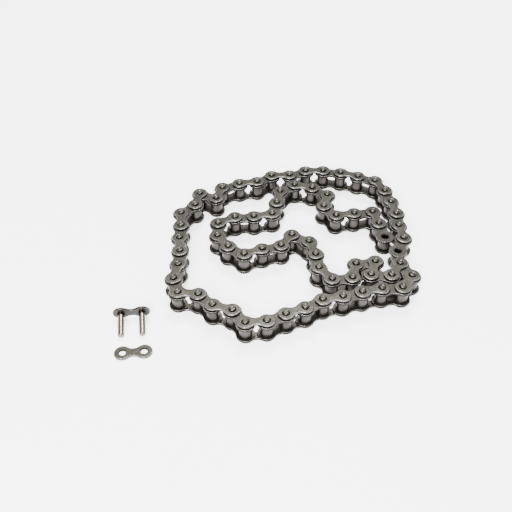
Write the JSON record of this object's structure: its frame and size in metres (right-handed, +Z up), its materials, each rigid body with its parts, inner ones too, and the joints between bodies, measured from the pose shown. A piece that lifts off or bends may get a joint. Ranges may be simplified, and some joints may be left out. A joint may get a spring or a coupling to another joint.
{
  "type": "roller chain",
  "caption": "Half-inch pitch roller chain, opened and laid on its side in a folded loop, with its loose connecting link and cover plate beside it.",
  "frame": {"origin": "middle of the bounding box of the whole lay, on the surface it lies on", "axes": "+Z up, along the pins; +X to the right and +Y away from the camera of the picture"},
  "size_m": [0.1898, 0.1704, 0.0166],
  "materials": {
    "outer_plate_steel": "blackened, lightly oiled",
    "inner_plate_steel": "blackened, lightly oiled",
    "bushing_steel": "ground",
    "roller_steel": "ground, lightly oiled",
    "polished_pin_steel": "polished, warm tint",
    "connecting_plate_steel": "smooth, bluish grey"
  },
  "bodies": {
    "end_inner_link": {"end_inner_plate_lower": "inner_plate_steel", "end_inner_plate_upper": "inner_plate_steel", "end_bushing_1": "bushing_steel", "end_bushing_2": "bushing_steel"},
    "end_roller_1": {"end_roller_1": "roller_steel"},
    "end_roller_2": {"end_roller_2": "roller_steel"},
    "outer_link_02": {"outer_link_02": "outer_plate_steel"},
    "link_run_03_04": {"link_run_03_04": "inner_plate_steel"},
    "inner_link_05": {"inner_link_05": "inner_plate_steel"},
    "outer_link_06": {"outer_link_06": "outer_plate_steel"},
    "inner_link_07": {"inner_link_07": "inner_plate_steel"},
    "outer_link_08": {"outer_link_08": "outer_plate_steel"},
    "inner_link_09": {"inner_link_09": "inner_plate_steel"},
    "link_run_10_11": {"link_run_10_11": "outer_plate_steel"},
    "link_run_12_13": {"link_run_12_13": "outer_plate_steel"},
    "outer_link_14": {"outer_link_14": "outer_plate_steel"},
    "inner_link_15": {"inner_link_15": "inner_plate_steel"},
    "link_run_16_17": {"link_run_16_17": "outer_plate_steel"},
    "link_run_18_19": {"link_run_18_19": "outer_plate_steel"},
    "outer_link_20": {"outer_link_20": "outer_plate_steel"},
    "inner_link_21": {"inner_link_21": "inner_plate_steel"},
    "link_run_22_23": {"link_run_22_23": "outer_plate_steel"},
    "outer_link_24": {"outer_link_24": "outer_plate_steel"},
    "inner_link_25": {"inner_link_25": "inner_plate_steel"},
    "outer_link_26": {"outer_link_26": "outer_plate_steel"},
    "inner_link_27": {"inner_link_27": "inner_plate_steel"},
    "outer_link_28": {"outer_link_28": "outer_plate_steel"},
    "inner_link_29": {"inner_link_29": "inner_plate_steel"},
    "outer_link_30": {"outer_link_30": "outer_plate_steel"},
    "inner_link_31": {"inner_link_31": "inner_plate_steel"},
    "outer_link_32": {"outer_link_32": "outer_plate_steel"},
    "inner_link_33": {"inner_link_33": "inner_plate_steel"},
    "link_run_34_36": {"link_run_34_36": "outer_plate_steel"},
    "link_run_37_39": {"link_run_37_39": "inner_plate_steel"},
    "outer_link_40": {"outer_link_40": "outer_plate_steel"},
    "inner_link_41": {"inner_link_41": "inner_plate_steel"},
    "outer_link_42": {"outer_link_42": "outer_plate_steel"},
    "inner_link_43": {"inner_link_43": "inner_plate_steel"},
    "outer_link_44": {"outer_link_44": "outer_plate_steel"},
    "inner_link_45": {"inner_link_45": "inner_plate_steel"},
    "link_run_46_48": {"link_run_46_48": "outer_plate_steel"},
    "link_run_49_50": {"link_run_49_50": "inner_plate_steel"},
    "inner_link_51": {"inner_link_51": "inner_plate_steel"},
    "outer_link_52": {"outer_link_52": "outer_plate_steel"},
    "inner_link_53": {"inner_link_53": "inner_plate_steel"},
    "outer_link_54": {"outer_link_54": "outer_plate_steel"},
    "link_run_55_56": {"link_run_55_56": "inner_plate_steel"},
    "inner_link_57": {"inner_link_57": "inner_plate_steel"},
    "outer_link_58": {"outer_link_58": "outer_plate_steel"},
    "inner_link_59": {"inner_link_59": "inner_plate_steel"},
    "outer_link_60": {"outer_link_60": "outer_plate_steel"},
    "link_run_61_63": {"link_run_61_63": "inner_plate_steel"},
    "outer_link_64": {"outer_link_64": "outer_plate_steel"},
    "link_run_65_67": {"link_run_65_67": "inner_plate_steel"},
    "outer_link_68": {"outer_link_68": "outer_plate_steel"},
    "inner_link_69": {"inner_link_69": "inner_plate_steel"},
    "connecting_link": {"connecting_plate": "connecting_plate_steel", "connecting_pin_1": "polished_pin_steel", "connecting_pin_2": "polished_pin_steel"},
    "cover_plate": {"cover_plate": "connecting_plate_steel"}
  },
  "joints": [
    {"name": "pin_02_hinge", "type": "hinge", "parent": "outer_link_02", "child": "end_inner_link", "pos_m": [0.07414, 0.0209, 0.0083], "axis": [0, 0, 1], "range_deg": [-66.95, 0]},
    {"name": "pin_03_hinge", "type": "hinge", "parent": "link_run_03_04", "child": "outer_link_02", "pos_m": [0.07128, 0.03328, 0.0083], "axis": [0, 0, 1], "range_deg": [-28.5, 0]},
    {"name": "pin_05_hinge", "type": "hinge", "parent": "inner_link_05", "child": "link_run_03_04", "pos_m": [0.04624, 0.02909, 0.0083], "axis": [0, 0, 1], "range_deg": [-30.55, 0]},
    {"name": "pin_06_hinge", "type": "hinge", "parent": "outer_link_06", "child": "inner_link_05", "pos_m": [0.0386, 0.03923, 0.0083], "axis": [0, 0, -1], "range_deg": [0, 7]},
    {"name": "pin_07_hinge", "type": "hinge", "parent": "inner_link_07", "child": "outer_link_06", "pos_m": [0.04167, 0.05155, 0.0083], "axis": [0, 0, -1], "range_deg": [0, 9.2]},
    {"name": "pin_08_hinge", "type": "hinge", "parent": "outer_link_08", "child": "inner_link_07", "pos_m": [0.03166, 0.05937, 0.0083], "axis": [0, 0, -1], "range_deg": [0, 7.55]},
    {"name": "pin_09_hinge", "type": "hinge", "parent": "inner_link_09", "child": "outer_link_08", "pos_m": [0.01945, 0.06287, 0.0083], "axis": [0, 0, -1], "range_deg": [0, 8.4]},
    {"name": "pin_10_hinge", "type": "hinge", "parent": "link_run_10_11", "child": "inner_link_09", "pos_m": [0.00905, 0.05559, 0.0083], "axis": [0, 0, 1], "range_deg": [-10.8, 0]},
    {"name": "pin_12_hinge", "type": "hinge", "parent": "link_run_12_13", "child": "link_run_10_11", "pos_m": [0.00312, 0.0309, 0.0083], "axis": [0, 0, -1], "range_deg": [0, 4.5]},
    {"name": "pin_14_hinge", "type": "hinge", "parent": "outer_link_14", "child": "link_run_12_13", "pos_m": [-0.02197, 0.02737, 0.0083], "axis": [0, 0, -1], "range_deg": [0, 2.75]},
    {"name": "pin_15_hinge", "type": "hinge", "parent": "inner_link_15", "child": "outer_link_14", "pos_m": [-0.03308, 0.02121, 0.0083], "axis": [0, 0, 1], "range_deg": [-6.03, 0]},
    {"name": "pin_16_hinge", "type": "hinge", "parent": "link_run_16_17", "child": "inner_link_15", "pos_m": [-0.03308, 0.00851, 0.0083], "axis": [0, 0, 1], "range_deg": [-6.3, 0]},
    {"name": "pin_18_hinge", "type": "hinge", "parent": "link_run_18_19", "child": "link_run_16_17", "pos_m": [-0.01552, -0.00935, 0.0083], "axis": [0, 0, 1], "range_deg": [0, 4.41]},
    {"name": "pin_20_hinge", "type": "hinge", "parent": "outer_link_20", "child": "link_run_18_19", "pos_m": [0.00844, -0.00111, 0.0083], "axis": [0, 0, 1], "range_deg": [0, 12.05]},
    {"name": "pin_21_hinge", "type": "hinge", "parent": "inner_link_21", "child": "outer_link_20", "pos_m": [0.01572, 0.0093, 0.0083], "axis": [0, 0, 1], "range_deg": [-3.8, 0]},
    {"name": "pin_22_hinge", "type": "hinge", "parent": "link_run_22_23", "child": "inner_link_21", "pos_m": [0.02661, 0.00276, 0.0083], "axis": [0, 0, 1], "range_deg": [0, 17]},
    {"name": "pin_24_hinge", "type": "hinge", "parent": "outer_link_24", "child": "link_run_22_23", "pos_m": [0.03165, -0.02202, 0.0083], "axis": [0, 0, 1], "range_deg": [0, 2.8]},
    {"name": "pin_25_hinge", "type": "hinge", "parent": "inner_link_25", "child": "outer_link_24", "pos_m": [0.03929, -0.03216, 0.0083], "axis": [0, 0, 1], "range_deg": [0, 3]},
    {"name": "pin_26_hinge", "type": "hinge", "parent": "outer_link_26", "child": "inner_link_25", "pos_m": [0.05192, -0.03083, 0.0083], "axis": [0, 0, 1], "range_deg": [0, 3.95]},
    {"name": "pin_27_hinge", "type": "hinge", "parent": "inner_link_27", "child": "outer_link_26", "pos_m": [0.05521, -0.01857, 0.0083], "axis": [0, 0, -1], "range_deg": [0, 3.85]},
    {"name": "pin_28_hinge", "type": "hinge", "parent": "outer_link_28", "child": "inner_link_27", "pos_m": [0.06768, -0.01614, 0.0083], "axis": [0, 0, -1], "range_deg": [0, 5.2]},
    {"name": "pin_29_hinge", "type": "hinge", "parent": "inner_link_29", "child": "outer_link_28", "pos_m": [0.06375, -0.02822, 0.0083], "axis": [0, 0, -1], "range_deg": [-3.85, 0]},
    {"name": "pin_30_hinge", "type": "hinge", "parent": "outer_link_30", "child": "inner_link_29", "pos_m": [0.07644, -0.02867, 0.0083], "axis": [0, 0, -1], "range_deg": [-5.2, 0]},
    {"name": "pin_31_hinge", "type": "hinge", "parent": "inner_link_31", "child": "outer_link_30", "pos_m": [0.08317, -0.01789, 0.0083], "axis": [0, 0, 1], "range_deg": [-4.5, 0]},
    {"name": "pin_32_hinge", "type": "hinge", "parent": "outer_link_32", "child": "inner_link_31", "pos_m": [0.08914, -0.02911, 0.0083], "axis": [0, 0, 1], "range_deg": [0, 4.5]},
    {"name": "pin_33_hinge", "type": "hinge", "parent": "inner_link_33", "child": "outer_link_32", "pos_m": [0.08185, -0.03951, 0.0083], "axis": [0, 0, -1], "range_deg": [-4.75, 0]},
    {"name": "pin_34_hinge", "type": "hinge", "parent": "link_run_34_36", "child": "inner_link_33", "pos_m": [0.06917, -0.04018, 0.0083], "axis": [0, 0, -1], "range_deg": [0, 4.75]},
    {"name": "pin_37_hinge", "type": "hinge", "parent": "link_run_37_39", "child": "link_run_34_36", "pos_m": [0.03235, -0.04981, 0.0083], "axis": [0, 0, -1], "range_deg": [-19.3, 0]},
    {"name": "pin_40_hinge", "type": "hinge", "parent": "outer_link_40", "child": "link_run_37_39", "pos_m": [-0.00143, -0.06727, 0.0083], "axis": [0, 0, -1], "range_deg": [0, 13.51]},
    {"name": "pin_41_hinge", "type": "hinge", "parent": "inner_link_41", "child": "outer_link_40", "pos_m": [-0.01406, -0.0686, 0.0083], "axis": [0, 0, -1], "range_deg": [-19.3, 0]},
    {"name": "pin_42_hinge", "type": "hinge", "parent": "outer_link_42", "child": "inner_link_41", "pos_m": [-0.02188, -0.05859, 0.0083], "axis": [0, 0, -1], "range_deg": [0, 19.3]},
    {"name": "pin_43_hinge", "type": "hinge", "parent": "inner_link_43", "child": "outer_link_42", "pos_m": [-0.03381, -0.05425, 0.0083], "axis": [0, 0, -1], "range_deg": [-19.3, 0]},
    {"name": "pin_44_hinge", "type": "hinge", "parent": "inner_link_43", "child": "outer_link_44", "pos_m": [-0.04279, -0.04527, 0.0083], "axis": [0, 0, -1], "range_deg": [-19.3, 0]},
    {"name": "pin_45_hinge", "type": "hinge", "parent": "outer_link_44", "child": "inner_link_45", "pos_m": [-0.0554, -0.04372, 0.0083], "axis": [0, 0, -1], "range_deg": [0, 12.05]},
    {"name": "pin_46_hinge", "type": "hinge", "parent": "inner_link_45", "child": "link_run_46_48", "pos_m": [-0.0589, -0.03151, 0.0083], "axis": [0, 0, -1], "range_deg": [-12.05, 0]},
    {"name": "pin_49_hinge", "type": "hinge", "parent": "link_run_46_48", "child": "link_run_49_50", "pos_m": [-0.0578, 0.00638, 0.0083], "axis": [0, 0, -1], "range_deg": [-1.65, 0]},
    {"name": "pin_51_hinge", "type": "hinge", "parent": "link_run_49_50", "child": "inner_link_51", "pos_m": [-0.05846, 0.03175, 0.0083], "axis": [0, 0, -1], "range_deg": [-1.9, 0]},
    {"name": "pin_52_hinge", "type": "hinge", "parent": "inner_link_51", "child": "outer_link_52", "pos_m": [-0.04948, 0.04073, 0.0083], "axis": [0, 0, -1], "range_deg": [-2.3, 0]},
    {"name": "pin_53_hinge", "type": "hinge", "parent": "outer_link_52", "child": "inner_link_53", "pos_m": [-0.04684, 0.05315, 0.0083], "axis": [0, 0, 1], "range_deg": [0, 22.35]},
    {"name": "pin_54_hinge", "type": "hinge", "parent": "inner_link_53", "child": "outer_link_54", "pos_m": [-0.03533, 0.04778, 0.0083], "axis": [0, 0, 1], "range_deg": [-22.35, 0]},
    {"name": "pin_55_hinge", "type": "hinge", "parent": "outer_link_54", "child": "link_run_55_56", "pos_m": [-0.03141, 0.05986, 0.0083], "axis": [0, 0, 1], "range_deg": [0, 41.85]},
    {"name": "pin_57_hinge", "type": "hinge", "parent": "link_run_55_56", "child": "inner_link_57", "pos_m": [-0.00704, 0.06662, 0.0083], "axis": [0, 0, -1], "range_deg": [-41.85, 0]},
    {"name": "pin_58_hinge", "type": "hinge", "parent": "inner_link_57", "child": "outer_link_58", "pos_m": [0.00349, 0.07372, 0.0083], "axis": [0, 0, 1], "range_deg": [0, 41.85]},
    {"name": "pin_59_hinge", "type": "hinge", "parent": "outer_link_58", "child": "inner_link_59", "pos_m": [0.01617, 0.07439, 0.0083], "axis": [0, 0, 1], "range_deg": [0, 41.85]},
    {"name": "pin_60_hinge", "type": "hinge", "parent": "inner_link_59", "child": "outer_link_60", "pos_m": [0.02786, 0.07935, 0.0083], "axis": [0, 0, 1], "range_deg": [0, 41.85]},
    {"name": "pin_61_hinge", "type": "hinge", "parent": "outer_link_60", "child": "link_run_61_63", "pos_m": [0.04056, 0.07957, 0.0083], "axis": [0, 0, -1], "range_deg": [-41.85, 0]},
    {"name": "pin_64_hinge", "type": "hinge", "parent": "link_run_61_63", "child": "outer_link_64", "pos_m": [0.07665, 0.06784, 0.0083], "axis": [0, 0, 1], "range_deg": [0, 41.85]},
    {"name": "pin_65_hinge", "type": "hinge", "parent": "outer_link_64", "child": "link_run_65_67", "pos_m": [0.08221, 0.05643, 0.0083], "axis": [0, 0, 1], "range_deg": [0, 41.85]},
    {"name": "pin_68_hinge", "type": "hinge", "parent": "link_run_65_67", "child": "outer_link_68", "pos_m": [0.08706, 0.01885, 0.0083], "axis": [0, 0, 1], "range_deg": [0, 41.85]},
    {"name": "pin_69_hinge", "type": "hinge", "parent": "outer_link_68", "child": "inner_link_69", "pos_m": [0.0886, 0.00624, 0.0083], "axis": [0, 0, 1], "range_deg": [-18.85, 0]},
    {"name": "end_roller_1_turn", "type": "hinge", "parent": "end_inner_link", "child": "end_roller_1", "pos_m": [0.07678, 0.00848, 0.0083], "axis": [0, 0, 1], "continuous": true},
    {"name": "end_roller_2_turn", "type": "hinge", "parent": "end_inner_link", "child": "end_roller_2", "pos_m": [0.07414, 0.0209, 0.0083], "axis": [0, 0, 1], "continuous": true},
    {"name": "connecting_link_lift", "type": "slide", "parent": "inner_link_43", "child": "connecting_link", "axis": [0, 0, 1], "range_m": [0, 0.03]},
    {"name": "cover_plate_lift", "type": "slide", "parent": "inner_link_43", "child": "cover_plate", "axis": [0, 0, 1], "range_m": [0, 0.03]}
  ],
  "couplings": [
    {"joint": "pin_18_hinge", "follows": "pin_16_hinge", "ratio": -0.7},
    {"joint": "pin_15_hinge", "follows": "pin_20_hinge", "ratio": -0.5},
    {"joint": "pin_29_hinge", "follows": "pin_27_hinge", "ratio": -1},
    {"joint": "pin_30_hinge", "follows": "pin_28_hinge", "ratio": -1},
    {"joint": "pin_32_hinge", "follows": "pin_31_hinge", "ratio": -1},
    {"joint": "pin_34_hinge", "follows": "pin_33_hinge", "ratio": -1},
    {"joint": "pin_40_hinge", "follows": "pin_37_hinge", "ratio": -0.7},
    {"joint": "pin_42_hinge", "follows": "pin_41_hinge", "ratio": -1},
    {"joint": "pin_44_hinge", "follows": "pin_43_hinge", "ratio": 1},
    {"joint": "pin_46_hinge", "follows": "pin_45_hinge", "ratio": -1},
    {"joint": "pin_54_hinge", "follows": "pin_53_hinge", "ratio": -1}
  ]
}
